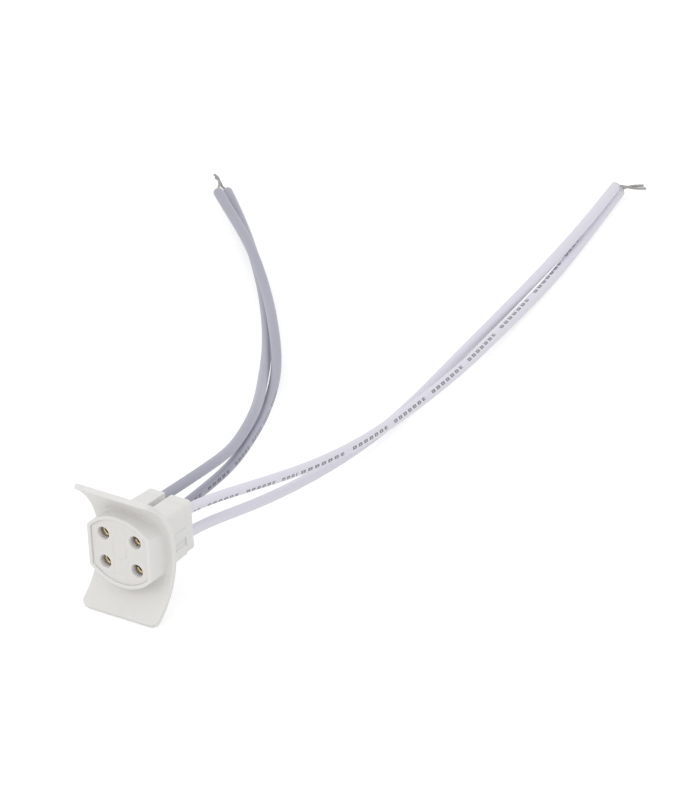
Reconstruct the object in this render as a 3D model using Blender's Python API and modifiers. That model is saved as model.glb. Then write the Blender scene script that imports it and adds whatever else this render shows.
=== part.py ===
# Four-pin lamp holder with leads, for the cap of a circular tube.
# Metres, +Z up. The origin is the centre of the pin pattern on the face that the lamp cap meets.
# The lamp comes from -Y, the leads leave towards +Y, and +X is to the right of someone facing the pins.

import math

import bmesh
import bpy
import numpy as np
from mathutils import Matrix, Vector

# Pin pattern of the lamp cap
pin_span_across = 0.00792
pin_span_up = 0.00635

# Clearances
seat_gap = 0.0003
fit_gap = 0.00015
strand_gap = 0.00005
cut_overrun = 0.001
weld_distance = 0.0000005

# Collar round the pins
collar_width = 0.0155
collar_height = 0.0158
collar_arc_radius = 0.01043
collar_rim = 0.0008
collar_front = 0.0008
collar_edge_round = 0.0005
collar_arc_steps = 16

# Saddle plate, a piece of a cylinder whose axis runs across, in front of the face
saddle_radius = 0.0153
saddle_wall = 0.00115
saddle_width = 0.0188
saddle_depth = 0.0046
saddle_arc = 0.015665
saddle_corner = 0.0016
saddle_corner_steps = 5
saddle_bend_steps = 26
drum_segments = 120

# Box behind the saddle
box_root_top = 0.0057
box_rear_top = 0.0054
box_root_bottom = 0.0062
box_rear_bottom = 0.0060
box_root_half_width = 0.0059
box_rear_half_width = 0.0054
box_rear = 0.0141
box_front = 0.0038
box_corner = 0.0008
box_corner_steps = 3

# Pocket and chambers inside the housing
pocket_floor_wall = 0.0007
chamber_radius = 0.0015
barrel_way_radius = 0.0010
turned_steps = 24

# Slot in the box's top, and the shallow groove in each side below the cover's arm
slot_centre = 0.00045
slot_width = 0.0013
slot_front = 0.0113
slot_depth = 0.0018
groove_half_width = 0.00525
groove_front = 0.0110
groove_bottom = 0.0036

# Block that carries the contacts' mouths
block_edge = 0.0002
block_strip_width = 0.0038
block_strip_height = 0.0111
block_strip_depth = 0.00015
block_disc_radius = 0.0015
mouth_radius = 0.00165
bore_radius = 0.00138
mouth_depth = 0.00045
bore_depth = 0.0009
block_bore_radius = 0.0016

# Rear cover, its arms and their hooks
cover_thickness = 0.0019
cover_top = 0.0054
cover_bottom = 0.0053
cover_half_width = 0.0054
arm_outer = 0.00545
arm_thickness = 0.0004
arm_top = 0.00015
arm_bottom = 0.0016
arm_front = 0.0109
hook_reach = 0.0004
hook_length = 0.0008
hook_bottom = 0.0010

# Contact, a rolled brass sleeve necked down to a crimp barrel
sleeve_radius = 0.0014
sleeve_wall = 0.0002
sleeve_flare = 0.00012
sleeve_flare_length = 0.00045
sleeve_end = 0.0070
neck_end = 0.0082
barrel_radius = 0.00062
barrel_end = 0.0108
slit_width = 0.0005
slit_end = 0.0080

# Leads, with the conductor bare at both ends
lead_diameter = 0.0022
lead_clearance = 0.0001
lead_exit_across = 0.00375
lead_exit_height = 0.00262
lead_start = 0.0118
lead_point_spacing = 0.0055
conductor_diameter = 0.00055
conductor_start = 0.0090
conductor_steps = 12
bare_reach = 0.0012
bare_spacing = 0.00026
bare_join_share = 0.4
cord_bevel_resolution = 2

# Route of each lead behind the cover
lead_routes = {
    "lead_1": [
        (-0.00304, 0.02467, 0.00307), (-0.00392, 0.03388, 0.00230), (-0.00887, 0.04820, -0.00107),
        (-0.01787, 0.06680, -0.00416), (-0.03020, 0.08529, -0.00899), (-0.04466, 0.10561, -0.01258),
        (-0.05719, 0.12096, -0.01280), (-0.07181, 0.13643, -0.01284), (-0.08288, 0.14691, -0.01284),
        (-0.09373, 0.15642, -0.01279)],
    "lead_2": [
        (0.00401, 0.01879, 0.00252), (0.00680, 0.03021, 0.00171), (0.00877, 0.04687, -0.00115),
        (0.00815, 0.06669, -0.00456), (0.00444, 0.08868, -0.00801), (0.00033, 0.11139, -0.01032),
        (-0.00499, 0.13449, -0.01216), (-0.00969, 0.15704, -0.01265), (-0.01512, 0.17723, -0.01285),
        (-0.02111, 0.19841, -0.01274)],
    "lead_3": [
        (-0.00594, 0.03377, -0.00372), (-0.00728, 0.04320, -0.00389), (-0.01190, 0.05682, -0.00491),
        (-0.02296, 0.07740, -0.00896), (-0.03375, 0.09455, -0.01041), (-0.04361, 0.10673, -0.00994),
        (-0.05566, 0.11994, -0.01034), (-0.07107, 0.13446, -0.00988), (-0.08215, 0.14354, -0.01020),
        (-0.09208, 0.15122, -0.01019)],
    "lead_4": [
        (0.00349, 0.02121, -0.00320), (0.00492, 0.03524, -0.00488), (0.00472, 0.05104, -0.00732),
        (0.00180, 0.07357, -0.01089), (-0.00121, 0.09337, -0.01244), (-0.00544, 0.11760, -0.01248),
        (-0.00938, 0.14018, -0.01227), (-0.01189, 0.15956, -0.01080), (-0.01509, 0.17654, -0.01009),
        (-0.02027, 0.19587, -0.01025)],
}

# Middle line of each pair of bare ends, the angles in turns that the first conductor winds between,
# and how far each conductor stops short of the line's end
pair_lines = {
    "grey": [(-0.09552, 0.15654, -0.01200), (-0.09668, 0.15782, -0.01200), (-0.09816, 0.15915, -0.01210),
             (-0.09987, 0.15997, -0.01220)],
    "white": [(-0.02025, 0.19896, -0.01180), (-0.01950, 0.19990, -0.01200), (-0.01803, 0.20075, -0.01200),
              (-0.01655, 0.20166, -0.01200)],
}
pair_turns = {"grey": (-0.1, 0.15), "white": (0, 0.3)}
pair_shortfalls = {"grey": (0.00026, 0), "white": (0.00052, 0)}

# Sizes that follow from the ones above
pin_x = pin_span_across / 2
pin_z = pin_span_up / 2
saddle_axis = saddle_depth - saddle_radius
pocket_floor_radius = saddle_radius + saddle_wall - pocket_floor_wall
block_back_radius = pocket_floor_radius - seat_gap
block_back = saddle_axis + block_back_radius
cover_front = box_rear + seat_gap
cover_rear = cover_front + cover_thickness
lead_way_start = barrel_end + fit_gap
arm_inner = arm_outer - arm_thickness
recess_half_width = arm_inner - fit_gap
sleeve_start = bore_depth + fit_gap
lead_radius = lead_diameter / 2
lead_bore_radius = lead_radius + lead_clearance
conductor_radius = conductor_diameter / 2

# Position number, side (-1 left, 1 right), height (1 upper, -1 lower) and lead colour of each pole
poles = [(1, -1, 1, "grey"), (2, 1, 1, "white"), (3, -1, -1, "grey"), (4, 1, -1, "white")]


def clear_scene():
    for item in list(bpy.data.objects):
        bpy.data.objects.remove(item, do_unlink=True)


def add_collection(name):
    collection = bpy.data.collections.new(name)
    bpy.context.scene.collection.children.link(collection)
    return collection


def add_object(name, mesh, collection):
    item = bpy.data.objects.new(name, mesh)
    collection.objects.link(item)
    return item


def add_material(name, colour, roughness, metallic):
    material = bpy.data.materials.new(name)
    material.use_nodes = True
    shader = material.node_tree.nodes["Principled BSDF"]
    shader.inputs["Base Color"].default_value = (*colour, 1)
    shader.inputs["Roughness"].default_value = roughness
    shader.inputs["Metallic"].default_value = metallic
    return material


def mesh_from_curve(curve_object, collection):
    """Turn a curve object into a mesh object with its caps welded on."""
    bpy.context.view_layer.update()
    evaluated = curve_object.evaluated_get(bpy.context.evaluated_depsgraph_get())
    mesh = bpy.data.meshes.new_from_object(evaluated)
    work = bmesh.new()
    work.from_mesh(mesh)
    bmesh.ops.remove_doubles(work, verts=work.verts, dist=weld_distance)
    work.to_mesh(mesh)
    work.free()
    name = curve_object.name
    matrix = curve_object.matrix_world.copy()
    bpy.data.objects.remove(curve_object, do_unlink=True)
    item = add_object(name, mesh, collection)
    item.matrix_world = matrix
    return item


def extruded_outline(name, outline, front, back, collection):
    """Extrude a closed outline of (x, z) points from y = front to y = back."""
    curve = bpy.data.curves.new(name, "CURVE")
    curve.dimensions = "2D"
    curve.fill_mode = "BOTH"
    curve.extrude = (back - front) / 2
    spline = curve.splines.new("POLY")
    spline.points.add(len(outline) - 1)
    for point, (x, z) in zip(spline.points, outline):
        point.co = (x, z, 0, 1)
    spline.use_cyclic_u = True
    item = add_object(name, curve, collection)
    item.location = (0, (front + back) / 2, 0)
    item.rotation_euler = (math.pi / 2, 0, 0)
    return mesh_from_curve(item, collection)


def box(name, low, high, collection):
    """A box between two opposite corners."""
    low = Vector(low)
    high = Vector(high)
    mesh = bpy.data.meshes.new(name)
    work = bmesh.new()
    bmesh.ops.create_cube(work, size=1, matrix=Matrix.Diagonal((*(high - low), 1)))
    work.to_mesh(mesh)
    work.free()
    item = add_object(name, mesh, collection)
    item.location = (low + high) / 2
    return item


def turned(name, profile, place, collection, closed):
    """Turn a profile of (radius, y) points about a front-to-back axis through place."""
    mesh = bpy.data.meshes.new(name)
    work = bmesh.new()
    rim = [work.verts.new((radius, 0, -along)) for radius, along in profile]
    for first, second in zip(rim, rim[1:]):
        work.edges.new((first, second))
    if closed:
        work.edges.new((rim[-1], rim[0]))
    work.to_mesh(mesh)
    work.free()
    item = add_object(name, mesh, collection)
    item.location = place
    item.rotation_euler = (math.pi / 2, 0, 0)
    screw = item.modifiers.new("turn", "SCREW")
    screw.steps = turned_steps
    screw.render_steps = turned_steps
    screw.use_merge_vertices = True
    screw.merge_threshold = weld_distance
    screw.use_smooth_shade = True
    return item


def cylinder_across(name, radius, place, length, segments, collection):
    """A cylinder whose axis runs across, along X."""
    mesh = bpy.data.meshes.new(name)
    work = bmesh.new()
    round_ends = {"radius1": radius, "radius2": radius, "cap_ends": True}
    bmesh.ops.create_cone(work, segments=segments, depth=length, **round_ends)
    work.to_mesh(mesh)
    work.free()
    item = add_object(name, mesh, collection)
    item.location = place
    item.rotation_euler = (0, math.pi / 2, 0)
    return item


def combine(target, other, operation):
    modifier = target.modifiers.new(other.name, "BOOLEAN")
    modifier.operation = operation
    modifier.object = other
    modifier.solver = "EXACT"


def round_edges(item, width, segments, angle):
    bevel = item.modifiers.new("rounded edges", "BEVEL")
    bevel.width = width
    bevel.segments = segments
    bevel.limit_method = "ANGLE"
    bevel.angle_limit = math.radians(angle)


def as_cutter(item):
    item.hide_render = True
    item.display_type = "WIRE"
    return item


def finish(item, material):
    item.data.materials.clear()
    item.data.materials.append(material)
    if item.type == "MESH":
        item.data.shade_smooth()
        item.data.set_sharp_from_angle(angle=math.radians(35))
    return item


def rounded_rectangle(left, right, bottom, top, radius, steps):
    """Corner points of a rectangle with round corners, anticlockwise from the lower right."""
    points = []
    corners = [(right, bottom, -90), (right, top, 0), (left, top, 90), (left, bottom, 180)]
    for x, z, start in corners:
        centre_x = x - math.copysign(radius, x - (left + right) / 2)
        centre_z = z - math.copysign(radius, z - (bottom + top) / 2)
        for step in range(steps + 1):
            angle = math.radians(start + 90 * step / steps)
            points.append((centre_x + radius * math.cos(angle), centre_z + radius * math.sin(angle)))
    return points


def collar_outline(inset):
    """The collar's outline, moved inwards: straight sides, and an arc above and below."""
    half_width = collar_width / 2 - inset
    radius = collar_arc_radius - inset
    centre = collar_height / 2 - collar_arc_radius
    reach = math.asin(half_width / radius)
    points = []
    for side in (1, -1):
        for step in range(collar_arc_steps + 1):
            angle = reach - 2 * reach * step / collar_arc_steps
            points.append((side * radius * math.sin(angle), side * (centre + radius * math.cos(angle))))
    return points


def smooth_route(points, spacing):
    """Points at even steps along the natural cubic spline through the given points."""
    knots = np.array(points, dtype=float)
    spans = np.linalg.norm(np.diff(knots, axis=0), axis=1)
    marks = np.concatenate([[0], np.cumsum(spans)])
    count = len(knots)
    system = np.eye(count)
    right = np.zeros((count, 3))
    for i in range(1, count - 1):
        system[i, i - 1:i + 2] = (spans[i - 1], 2 * (spans[i - 1] + spans[i]), spans[i])
        right[i] = 6 * ((knots[i + 1] - knots[i]) / spans[i] - (knots[i] - knots[i - 1]) / spans[i - 1])
    bends = np.linalg.solve(system, right)
    result = []
    for mark in np.linspace(0, marks[-1], math.ceil(marks[-1] / spacing) + 1):
        i = min(int(np.searchsorted(marks, mark, side="right")) - 1, count - 2)
        before = mark - marks[i]
        after = marks[i + 1] - mark
        span = spans[i]
        curved = (bends[i] * after ** 3 + bends[i + 1] * before ** 3) / (6 * span)
        from_start = (knots[i] / span - bends[i] * span / 6) * after
        from_end = (knots[i + 1] / span - bends[i + 1] * span / 6) * before
        result.append(curved + from_start + from_end)
    return result


def cord(name, points, diameter, material, collection):
    """A round cord through the given points, with flat ends."""
    curve = bpy.data.curves.new(name, "CURVE")
    curve.dimensions = "3D"
    curve.bevel_depth = diameter / 2
    curve.bevel_resolution = cord_bevel_resolution
    curve.use_fill_caps = True
    spline = curve.splines.new("POLY")
    spline.points.add(len(points) - 1)
    for point, place in zip(spline.points, points):
        point.co = (*place, 1)
    item = add_object(name, curve, collection)
    return finish(item, material)


def make_saddle(name, collection):
    """The curved plate: a flat blank with round corners, cut into strips and bent to the saddle's radius."""
    half_width = saddle_width / 2
    corner = (saddle_corner, saddle_corner_steps)
    outline = rounded_rectangle(-half_width, half_width, -saddle_arc, saddle_arc, *corner)
    blank = extruded_outline(name, outline, 0, saddle_wall, collection)
    blank.data.transform(blank.matrix_world)
    blank.matrix_world = Matrix.Identity(4)
    work = bmesh.new()
    work.from_mesh(blank.data)
    for step in range(1, saddle_bend_steps):
        height = saddle_arc * (2 * step / saddle_bend_steps - 1)
        plane = {"plane_co": (0, 0, height), "plane_no": (0, 0, 1), "dist": weld_distance}
        bmesh.ops.bisect_plane(work, geom=work.verts[:] + work.edges[:] + work.faces[:], **plane)
    for vert in work.verts:
        angle = vert.co.z / saddle_radius
        radius = saddle_radius + vert.co.y
        vert.co.y = saddle_axis + radius * math.cos(angle)
        vert.co.z = radius * math.sin(angle)
    work.to_mesh(blank.data)
    work.free()
    return blank


def end_on_drum(item, name, radius, collection):
    """End a piece that runs rearwards on a drum round the saddle's own axis."""
    drum = cylinder_across(name, radius, (0, saddle_axis, 0), 2 * saddle_width, drum_segments, collection)
    combine(item, as_cutter(drum), "INTERSECT")
    return item


def make_collar(name, collection):
    """The wall round the pins in front of the saddle, ended inside the saddle's plate."""
    back = saddle_depth + saddle_wall + collar_edge_round
    collar = extruded_outline(name, collar_outline(0), -collar_front, back, collection)
    round_edges(collar, collar_edge_round, 3, 60)
    return as_cutter(end_on_drum(collar, "collar_end", saddle_radius + saddle_wall / 2, collection))


def make_rear_box(name, collection):
    """The box behind the saddle, which tapers a little towards its rear end."""
    sides = (-box_root_half_width, box_root_half_width, -box_root_bottom, box_root_top)
    outline = rounded_rectangle(*sides, box_corner, box_corner_steps)
    body = extruded_outline(name, outline, box_front, box_rear, collection)
    body.data.transform(body.matrix_world)
    body.matrix_world = Matrix.Identity(4)
    for vert in body.data.vertices:
        if vert.co.y > (box_front + box_rear) / 2:
            vert.co.x *= box_rear_half_width / box_root_half_width
            vert.co.z *= box_rear_top / box_root_top if vert.co.z > 0 else box_rear_bottom / box_root_bottom
    return as_cutter(body)


def straight_bore(name, radius, start, end, across, up, collection):
    """A round cutter from y = start to y = end."""
    profile = [(0, start), (radius, start), (radius, end), (0, end)]
    return as_cutter(turned(name, profile, (across, 0, up), collection, False))


def chamber_cutters(number, side, height, collection):
    """The hole behind one pin, wide round the sleeve and narrow round the barrel, and the lead's own hole."""
    start = saddle_depth - cut_overrun
    profile = [
        (0, start), (chamber_radius, start), (chamber_radius, sleeve_end + 2 * fit_gap),
        (barrel_way_radius, neck_end + 2 * fit_gap), (barrel_way_radius, lead_start), (0, lead_start)]
    place = (side * pin_x, 0, height * pin_z)
    chamber = as_cutter(turned(f"chamber_{number}", profile, place, collection, False))
    lead = (side * lead_exit_across, height * lead_exit_height)
    ends = (lead_way_start, box_rear + cut_overrun)
    lead_way = straight_bore(f"lead_way_{number}", lead_bore_radius, *ends, *lead, collection)
    return chamber, lead_way


def top_slot(name, collection):
    low = (slot_centre - slot_width / 2, slot_front, box_rear_top - slot_depth)
    high = (slot_centre + slot_width / 2, cover_rear + cut_overrun, box_root_top + cut_overrun)
    return as_cutter(box(name, low, high, collection))


def side_box(name, side, inner, outer, front, back, bottom, top, collection):
    """A box at one side of the housing, between two distances from the middle plane."""
    low = (min(side * inner, side * outer), front, bottom)
    high = (max(side * inner, side * outer), back, top)
    return as_cutter(box(name, low, high, collection))


def side_cutters(side, label, collection):
    """The recess for the cover's arm, the pocket for its hook, and the shallow groove below."""
    outside = box_root_half_width + cut_overrun
    back = box_rear + cut_overrun
    recess_top = arm_top + fit_gap
    recess_front = arm_front - 2 * fit_gap
    pocket_inner = arm_inner - hook_reach - 2 * fit_gap
    pocket_back = arm_front + hook_length + 2 * fit_gap
    cuts = [
        ("recess", recess_half_width, recess_front, back, -arm_bottom - fit_gap, recess_top),
        ("pocket", pocket_inner, recess_front, pocket_back, -hook_bottom - fit_gap, recess_top),
        ("groove", groove_half_width, groove_front, back, -groove_bottom, -arm_top)]
    return [
        side_box(f"{name}_{label}", side, inner, outside, front, rear, bottom, top, collection)
        for name, inner, front, rear, bottom, top in cuts]


def make_housing(material, collection, cutters):
    housing = make_saddle("housing", collection)
    combine(housing, make_collar("collar", cutters), "UNION")
    combine(housing, make_rear_box("rear_box", cutters), "UNION")
    ends = (-collar_front - cut_overrun, saddle_axis + pocket_floor_radius + cut_overrun)
    pocket = extruded_outline("pocket", collar_outline(collar_rim), *ends, cutters)
    end_on_drum(pocket, "pocket_floor", pocket_floor_radius, cutters)
    combine(housing, as_cutter(pocket), "DIFFERENCE")
    for number, side, height, _ in poles:
        for cutter in chamber_cutters(number, side, height, cutters):
            combine(housing, cutter, "DIFFERENCE")
    combine(housing, top_slot("housing_slot", cutters), "DIFFERENCE")
    for side, label in ((-1, "left"), (1, "right")):
        for cutter in side_cutters(side, label, cutters):
            combine(housing, cutter, "DIFFERENCE")
    return finish(housing, material)


def make_contact_block(material, collection, cutters):
    """The insert in the collar, with a bored and countersunk mouth over each contact."""
    outline = collar_outline(collar_rim + fit_gap)
    block = extruded_outline("contact_block", outline, 0, block_back + cut_overrun, collection)
    round_edges(block, block_edge, 2, 60)
    end_on_drum(block, "block_back", block_back_radius, cutters)
    low = (-block_strip_width / 2, -cut_overrun, -block_strip_height / 2)
    high = (block_strip_width / 2, block_strip_depth, block_strip_height / 2)
    combine(block, as_cutter(box("strip", low, high, cutters)), "DIFFERENCE")
    combine(block, straight_bore("disc", block_disc_radius, 0, bore_depth, 0, 0, cutters), "UNION")
    slope = (mouth_radius - bore_radius) / mouth_depth
    profile = [
        (0, -cut_overrun), (mouth_radius + slope * cut_overrun, -cut_overrun), (bore_radius, mouth_depth),
        (bore_radius, bore_depth), (block_bore_radius, bore_depth),
        (block_bore_radius, block_back + cut_overrun), (0, block_back + cut_overrun)]
    for number, side, height, _ in poles:
        bore = turned(f"bore_{number}", profile, (side * pin_x, 0, height * pin_z), cutters, False)
        combine(block, as_cutter(bore), "DIFFERENCE")
    return finish(block, material)


def make_rear_cover(material, collection, cutters):
    """The plate behind the box, with a hole for each lead and a hooked arm at each side."""
    sides = (-cover_half_width, cover_half_width, -cover_bottom, cover_top)
    outline = rounded_rectangle(*sides, box_corner, box_corner_steps)
    cover = extruded_outline("rear_cover", outline, cover_front, cover_rear, collection)
    round_edges(cover, block_edge, 2, 60)
    arm = (arm_inner, arm_outer, arm_front, cover_rear - block_edge, -arm_bottom, arm_top)
    hook = (arm_inner - hook_reach, arm_outer, arm_front, arm_front + hook_length, -hook_bottom, arm_top)
    for side, label in ((-1, "left"), (1, "right")):
        combine(cover, side_box(f"arm_{label}", side, *arm, cutters), "UNION")
        combine(cover, side_box(f"hook_{label}", side, *hook, cutters), "UNION")
    for number, side, height, _ in poles:
        place = (side * lead_exit_across, height * lead_exit_height)
        ends = (cover_front - cut_overrun, cover_rear + cut_overrun)
        hole = straight_bore(f"lead_hole_{number}", lead_bore_radius, *ends, *place, cutters)
        combine(cover, hole, "DIFFERENCE")
    combine(cover, top_slot("cover_slot", cutters), "DIFFERENCE")
    return finish(cover, material)


def make_contact(number, side, height, material, collection, cutters):
    """A sleeve that grips one lamp pin, slit along one side and necked down to its crimp barrel."""
    barrel_bore = conductor_radius + 2 * strand_gap
    neck_wall = barrel_radius - barrel_bore
    profile = [
        (sleeve_radius + sleeve_flare, sleeve_start), (sleeve_radius, sleeve_start + sleeve_flare_length),
        (sleeve_radius, sleeve_end), (barrel_radius, neck_end), (barrel_radius, barrel_end),
        (barrel_bore, barrel_end), (barrel_bore, neck_end),
        (sleeve_radius - sleeve_wall, sleeve_end + neck_wall / 2),
        (sleeve_radius - sleeve_wall, sleeve_start + sleeve_flare_length),
        (sleeve_radius - sleeve_wall + sleeve_flare, sleeve_start)]
    place = (side * pin_x, 0, height * pin_z)
    contact = turned(f"contact_{number}", profile, place, collection, True)
    near = side * (pin_x - sleeve_radius - cut_overrun)
    far = side * (pin_x - barrel_bore)
    middle = height * pin_z
    low = (min(near, far), sleeve_start - cut_overrun, middle - slit_width / 2)
    high = (max(near, far), slit_end, middle + slit_width / 2)
    combine(contact, as_cutter(box(f"slit_{number}", low, high, cutters)), "DIFFERENCE")
    return finish(contact, material)


def make_conductor(number, side, height, material, collection):
    """The stripped end of a lead's conductor: straight in the barrel, then bent over to the lead's axis."""
    pin = np.array((side * pin_x, height * pin_z))
    lead = np.array((side * lead_exit_across, height * lead_exit_height))
    end = lead_start - strand_gap
    points = [(pin[0], conductor_start, pin[1])]
    for step in range(conductor_steps + 1):
        share = step / conductor_steps
        across, up = pin + (lead - pin) * share * share * (3 - 2 * share)
        points.append((across, barrel_end + (end - barrel_end) * share, up))
    return cord(f"conductor_{number}", points, conductor_diameter, material, collection)


def make_lead(number, side, height, material, collection):
    """Insulation of one lead: straight out of the cover, then down and along its route."""
    across = side * lead_exit_across
    up = height * lead_exit_height
    straight = [(across, lead_start, up), (across, cover_rear, up)]
    name = f"lead_{number}"
    points = smooth_route(straight + lead_routes[name], lead_point_spacing)
    cord(name, points, lead_diameter, material, collection)
    return points


def eased(share):
    """Ease from 0 to 1 with no speed at either end."""
    share = min(max(share, 0), 1)
    return share * share * (3 - 2 * share)


def winding_points(line, spread, turns, phase):
    """Points of one conductor that winds round the middle line at half the pair's pitch from it."""
    radius = conductor_radius + strand_gap
    last = len(line) - 1
    points = []
    for step, centre in enumerate(line):
        axis = line[min(step + 1, last)] - line[max(step - 1, 0)]
        axis = axis / np.linalg.norm(axis)
        across = spread - axis * np.dot(spread, axis)
        across = across / np.linalg.norm(across)
        turned_share = turns[0] + (turns[1] - turns[0]) * eased(step / last)
        angle = 2 * math.pi * (turned_share + phase)
        points.append(centre + radius * (across * math.cos(angle) + np.cross(axis, across) * math.sin(angle)))
    return points


def make_bare_pair(first, second, shade, material, collection):
    """The stripped far ends of two leads, brought together and wound part of a turn round each other."""
    ends = [np.array(route[-1]) for _, route in (first, second)]
    ways = [np.array(route[-1]) - np.array(route[-2]) for _, route in (first, second)]
    ways = [way / np.linalg.norm(way) for way in ways]
    middle = (ends[0] + ends[1]) / 2 + (ways[0] + ways[1]) / 2 * bare_reach
    line = smooth_route([middle, *pair_lines[shade]], bare_spacing)
    pair = zip((first, second), ends, ways, (0, 0.5), pair_shortfalls[shade])
    for (number, _), end, way, phase, shortfall in pair:
        wound = winding_points(line, ends[0] - ends[1], pair_turns[shade], phase)
        kept = len(wound) - round(shortfall / bare_spacing)
        points = []
        for step, place in enumerate(wound[:kept]):
            share = step / (len(wound) - 1) / bare_join_share
            straight = end + way * (strand_gap + bare_reach * share)
            points.append(straight + (place - straight) * eased(share))
        cord(f"bare_end_{number}", points, conductor_diameter, material, collection)


def main():
    clear_scene()
    parts = add_collection("lamp holder")
    cutters = add_collection("cutters")
    shell = add_material("white housing", (0.80, 0.79, 0.76), 0.42, 0)
    insert = add_material("white contact block", (0.80, 0.78, 0.75), 0.45, 0)
    cover = add_material("white rear cover", (0.80, 0.80, 0.77), 0.42, 0)
    brass = add_material("brass", (0.62, 0.42, 0.17), 0.28, 1)
    tinned = add_material("tinned copper", (0.62, 0.61, 0.60), 0.30, 1)
    insulation = {
        "grey": add_material("grey insulation", (0.37, 0.39, 0.47), 0.40, 0),
        "white": add_material("white insulation", (0.67, 0.66, 0.74), 0.38, 0)}
    make_housing(shell, parts, cutters)
    make_contact_block(insert, parts, cutters)
    make_rear_cover(cover, parts, cutters)
    routes = {"grey": [], "white": []}
    for number, side, height, shade in poles:
        make_contact(number, side, height, brass, parts, cutters)
        make_conductor(number, side, height, tinned, parts)
        points = make_lead(number, side, height, insulation[shade], parts)
        routes[shade].append((number, points))
    for shade, pair in routes.items():
        make_bare_pair(*pair, shade, tinned, parts)


main()
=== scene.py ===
import math

import bmesh
import bpy
import numpy as np
from mathutils import Matrix, Vector


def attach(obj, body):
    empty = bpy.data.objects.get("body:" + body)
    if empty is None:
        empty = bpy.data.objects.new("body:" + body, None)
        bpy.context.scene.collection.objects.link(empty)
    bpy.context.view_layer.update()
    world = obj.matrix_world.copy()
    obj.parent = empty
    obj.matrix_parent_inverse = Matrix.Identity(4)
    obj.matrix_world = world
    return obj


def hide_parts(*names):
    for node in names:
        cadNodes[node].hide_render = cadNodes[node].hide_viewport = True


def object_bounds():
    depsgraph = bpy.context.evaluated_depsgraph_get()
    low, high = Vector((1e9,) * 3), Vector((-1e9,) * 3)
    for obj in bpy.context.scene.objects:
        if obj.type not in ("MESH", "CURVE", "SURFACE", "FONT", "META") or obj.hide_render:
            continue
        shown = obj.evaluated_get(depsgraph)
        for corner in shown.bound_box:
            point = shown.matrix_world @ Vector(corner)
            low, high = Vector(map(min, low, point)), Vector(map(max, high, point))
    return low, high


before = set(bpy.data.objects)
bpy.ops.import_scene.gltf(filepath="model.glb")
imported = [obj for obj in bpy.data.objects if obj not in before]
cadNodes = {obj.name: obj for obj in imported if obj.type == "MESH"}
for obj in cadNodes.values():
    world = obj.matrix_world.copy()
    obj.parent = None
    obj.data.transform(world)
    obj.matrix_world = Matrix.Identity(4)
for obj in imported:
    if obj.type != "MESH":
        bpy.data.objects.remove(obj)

# Four-pin lamp holder with leads: finishes, fine surfaces, leads and their bare ends.
# Metres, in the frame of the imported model: +Z up, pins come from -Y, leads leave towards +Y.
cadLow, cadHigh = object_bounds()
scene = bpy.context.scene
print("frame loaded:", len(cadNodes), "nodes")


def addPiece(name, mesh):
    piece = bpy.data.objects.new(name, mesh)
    scene.collection.objects.link(piece)
    return piece


def plainMesh(piece, name):
    # the evaluated object as a plain mesh, with its modifiers used up
    bpy.context.view_layer.update()
    evaluated = piece.evaluated_get(bpy.context.evaluated_depsgraph_get())
    mesh = bpy.data.meshes.new_from_object(evaluated)
    bpy.data.objects.remove(piece, do_unlink=True)
    return addPiece(name, mesh)


class Signal:
    # a node socket that can stand in sums
    def __init__(self, tree, socket):
        self.tree = tree
        self.socket = socket

    def maths(self, operation, *others):
        inputs = dict(enumerate((self, *others)))
        return self.tree.node("ShaderNodeMath", inputs, {"operation": operation})

    def __add__(self, other):
        return self.maths("ADD", other)

    def __radd__(self, other):
        return self.maths("ADD", other)

    def __sub__(self, other):
        return self.maths("SUBTRACT", other)

    def __rsub__(self, other):
        return self.tree.node("ShaderNodeMath", {0: other, 1: self}, {"operation": "SUBTRACT"})

    def __mul__(self, other):
        return self.maths("MULTIPLY", other)

    def __rmul__(self, other):
        return self.maths("MULTIPLY", other)

    def __truediv__(self, other):
        return self.maths("DIVIDE", other)

    def __mod__(self, other):
        return self.maths("FLOORED_MODULO", other)

    def __gt__(self, other):
        return self.maths("GREATER_THAN", other)

    def __lt__(self, other):
        return self.maths("LESS_THAN", other)


nodeSpacing = 180  # how far apart nodes stand in the editor


class Tree:
    # adds nodes to a node tree, left to right
    def __init__(self, nodeTree):
        self.nodeTree = nodeTree
        self.column = 0

    def node(self, kind, inputs=None, settings=None, output=0):
        made = self.nodeTree.nodes.new(kind)
        made.location = (self.column * nodeSpacing, 0)
        self.column += 1
        for name, value in (settings or {}).items():
            setattr(made, name, value)
        for name, value in (inputs or {}).items():
            self.feed(made.inputs[name], value)
        return Signal(self, made.outputs[output]) if len(made.outputs) else made

    def outputs(self, kind, inputs=None):
        # all the named outputs of one node
        made = self.node(kind, inputs).socket.node
        return [Signal(self, socket) for socket in made.outputs if socket.name]

    def feed(self, socket, value):
        if isinstance(value, Signal):
            self.nodeTree.links.new(value.socket, socket)
        else:
            socket.default_value = value

    def blend(self, share, first, second):
        # a colour between two colours
        return self.node("ShaderNodeMix", {0: share, 6: first, 7: second}, {"data_type": "RGBA"}, output=2)

    def noise(self, place, scale, detail, roughness=0.5):
        inputs = {"Vector": place, "Scale": scale, "Detail": detail, "Roughness": roughness}
        return self.node("ShaderNodeTexNoise", inputs)


# Camera: the photograph's long lens, from the front, the right and above
cameraValues = {
    "lens": 500,
    "sensor": 36,
    "azimuth": 38.515,
    "elevation": 27.745,
    "roll": -3.82,
    "distance": 2.196,
    "nearShare": 0.01,
    "farShare": 10,
    "aim": (0.02908, 0.03912, 0.02377),
}


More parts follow.
